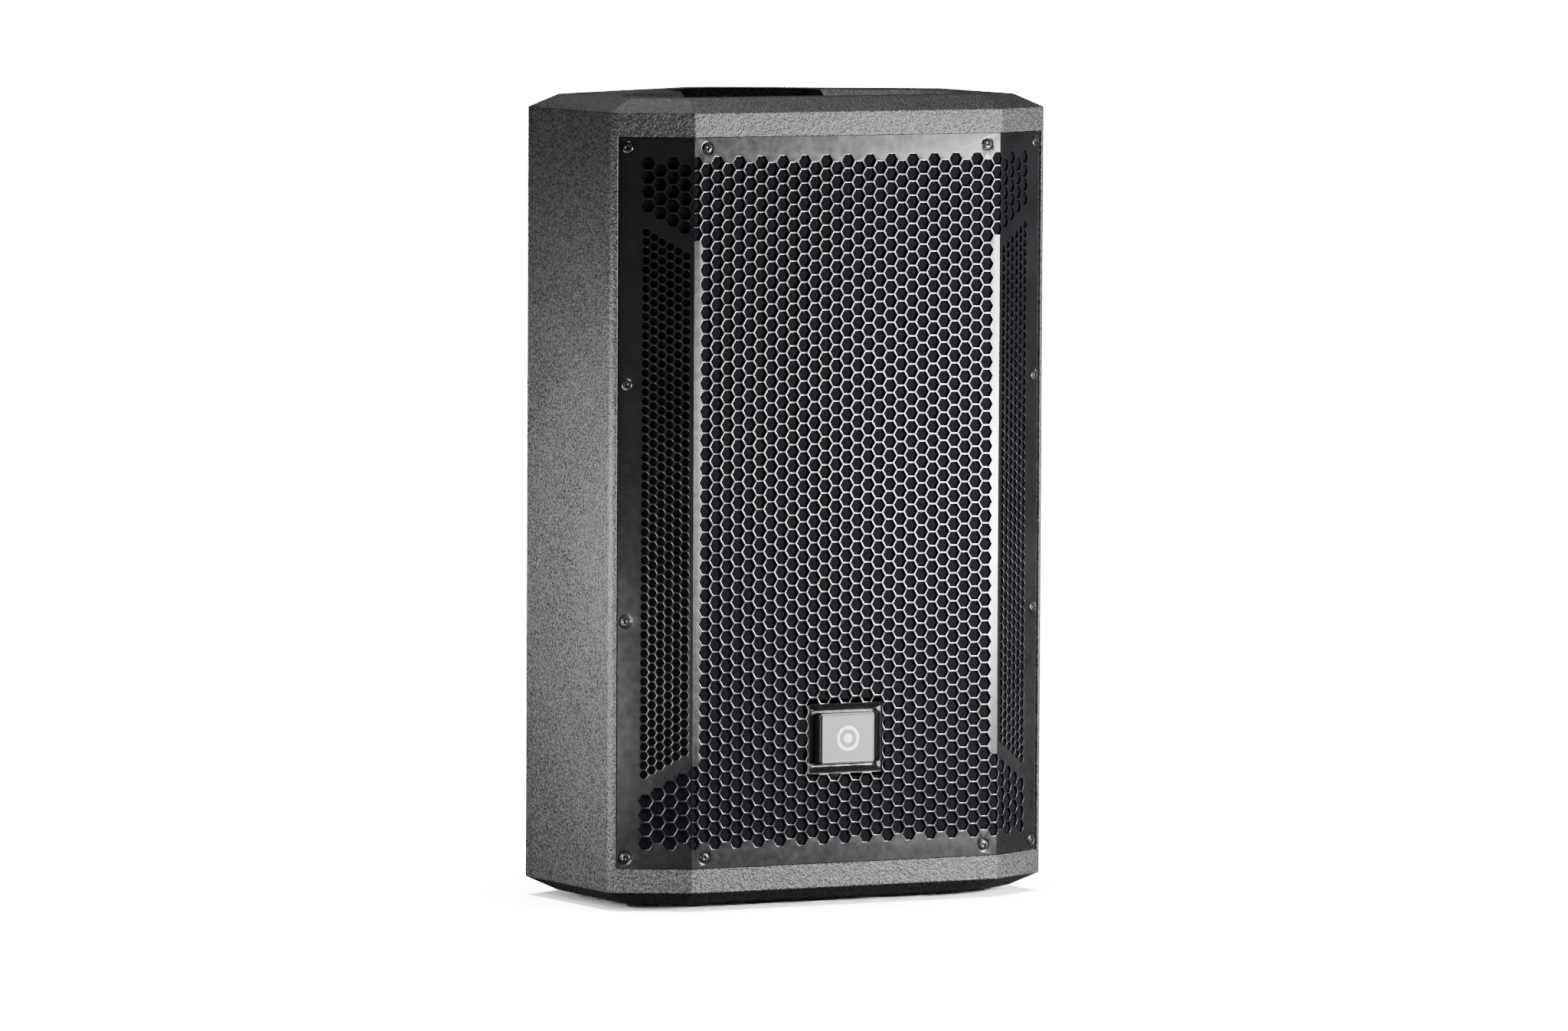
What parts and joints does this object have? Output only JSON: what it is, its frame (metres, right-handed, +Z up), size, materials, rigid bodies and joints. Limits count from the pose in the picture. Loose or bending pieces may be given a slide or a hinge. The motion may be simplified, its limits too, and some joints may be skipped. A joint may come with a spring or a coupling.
{
  "type": "pa speaker cabinet",
  "caption": "Multi-angle two-way PA loudspeaker cabinet with a folded hexagon-perforated steel grille, top hand pocket, pole socket and rear connector dish.",
  "frame": {"origin": "centre of the footprint (bounding box) on the floor, at the underside of the rubber feet", "axes": "+Z up along the height, the grille faces -Y, +X to the right as seen facing +Y"},
  "size_m": [0.371, 0.276, 0.61],
  "materials": {
    "cabinet_paint": "textured black paint",
    "plywood": "bare plywood",
    "grille_steel": "satin black powder coat",
    "grille_foam": "open-cell foam",
    "black_screw": "black oxide",
    "zinc_screw": "zinc plated",
    "badge_housing": "moulded black",
    "badge_plate": "satin anodised",
    "moulded_black": "textured black moulding",
    "insert_steel": "dark zinc",
    "rubber": "matte rubber",
    "basket_alloy": "black painted casting",
    "cone_paper": "ribbed paper cone",
    "treated_cloth": "treated cloth",
    "spider_cloth": "resin-treated cloth",
    "copper": "enamelled copper wire",
    "magnet_steel": "zinc plated steel",
    "ferrite": "sintered ferrite",
    "horn_plastic": "moulded black",
    "diaphragm_metal": "formed foil",
    "circuit_board": "solder mask",
    "standoff": "turned",
    "capacitor_film": "dipped film",
    "resistor_ceramic": "cement block",
    "wire_jacket": "flexible jacket",
    "damping_felt": "polyester fleece",
    "plate_metal": "satin black",
    "socket_plastic": "moulded black",
    "switch_knob": "moulded red"
  },
  "bodies": {
    "cabinet": {"panel_top": "cabinet_paint", "panel_bottom": "cabinet_paint", "side_left": "cabinet_paint", "side_right": "cabinet_paint", "rear_left": "cabinet_paint", "rear_right": "cabinet_paint", "back_panel": "cabinet_paint", "baffle": "plywood", "brace": "plywood", "grille_rails": "plywood", "grille": "grille_steel", "grille_foam": "grille_foam", "grille_screws": "black_screw", "badge_base": "badge_housing", "badge_plate": "badge_plate", "handle_cup": "moulded_black", "handle_screws": "black_screw", "rigging_inserts": "insert_steel", "feet": "rubber", "foot_screws": "zinc_screw", "pole_cup": "moulded_black", "pole_cup_screws": "zinc_screw", "woofer_basket": "basket_alloy", "woofer_gasket": "rubber", "woofer_surround": "treated_cloth", "spider": "spider_cloth", "woofer_front_plate": "magnet_steel", "woofer_magnet": "ferrite", "woofer_back_plate": "magnet_steel", "woofer_screws": "black_screw", "horn": "horn_plastic", "horn_screws": "black_screw", "driver_front_plate": "magnet_steel", "driver_magnet": "ferrite", "phase_plug": "horn_plastic", "driver_cap": "horn_plastic", "port_left": "moulded_black", "port_right": "moulded_black", "crossover_board": "circuit_board", "board_standoffs": "standoff", "inductors": "copper", "capacitors": "capacitor_film", "resistors": "resistor_ceramic", "wiring": "wire_jacket", "damping_lining": "damping_felt", "input_dish": "moulded_black", "dish_screws": "black_screw", "connector_plate": "plate_metal", "plate_screws": "black_screw", "socket_left": "socket_plastic", "socket_right": "socket_plastic", "switch_body": "socket_plastic"},
    "woofer_moving": {"woofer_cone": "cone_paper", "dust_cap": "cone_paper", "voice_coil": "copper"},
    "driver_moving": {"diaphragm": "diaphragm_metal"},
    "switch_lever": {"switch_lever": "switch_knob"}
  },
  "joints": [
    {"name": "woofer_travel", "type": "slide", "parent": "cabinet", "child": "woofer_moving", "axis": [0, -1, 0], "range_m": [-0.006, 0.006], "stiffness_N_per_m": 2500, "deforming": ["woofer_surround", "spider"]},
    {"name": "diaphragm_travel", "type": "slide", "parent": "cabinet", "child": "driver_moving", "axis": [0, -1, 0], "range_m": [-0.0004, 0.0004], "stiffness_N_per_m": 8000},
    {"name": "mode_switch", "type": "slide", "parent": "cabinet", "child": "switch_lever", "axis": [1, 0, 0], "range_m": [0, 0.008]}
  ]
}
